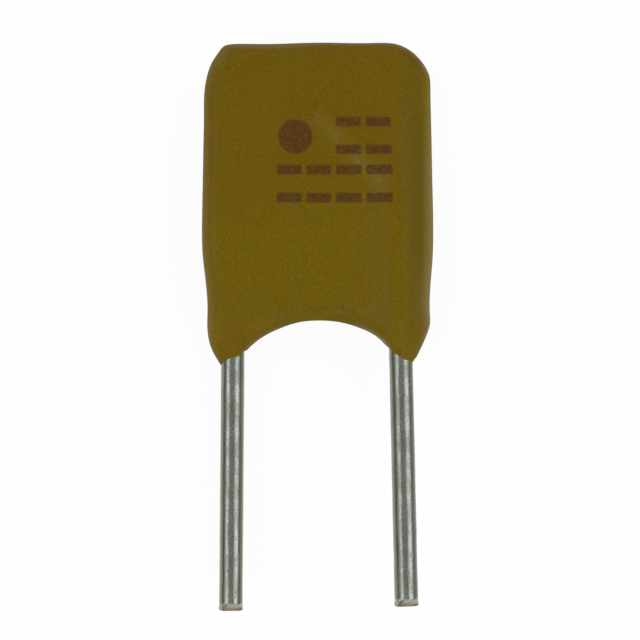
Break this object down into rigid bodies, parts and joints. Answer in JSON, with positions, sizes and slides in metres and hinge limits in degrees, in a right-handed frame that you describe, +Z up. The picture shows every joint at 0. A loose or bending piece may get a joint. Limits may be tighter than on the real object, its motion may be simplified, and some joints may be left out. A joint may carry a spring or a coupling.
{
  "type": "resettable fuse",
  "caption": "Flat epoxy-dipped resettable fuse with a polymer chip inside and straight round tinned leads, laid on its back; cuts overcurrent and resets as it cools.",
  "frame": {"origin": "centre of the part's bounding box in X and Y, at its lowest point, which is the surface that it lies on", "axes": "+Y along the body from the lead tips to the top of the coating, +X across the body to the front lead's side, +Z up, from the face that it lies on to the face that shows the front lead's ridge"},
  "size_m": [0.007, 0.0172, 0.0021],
  "materials": {
    "epoxy_coating": "satin",
    "filled_polymer": "matte",
    "nickel_foil": "satin",
    "solder": "satin",
    "tinned_copper": "satin"
  },
  "bodies": {
    "root": {"coating": "epoxy_coating", "ptc_core": "filled_polymer", "front_foil": "nickel_foil", "rear_foil": "nickel_foil", "front_solder": "solder", "rear_solder": "solder", "front_lead": "tinned_copper", "rear_lead": "tinned_copper"}
  },
  "joints": []
}
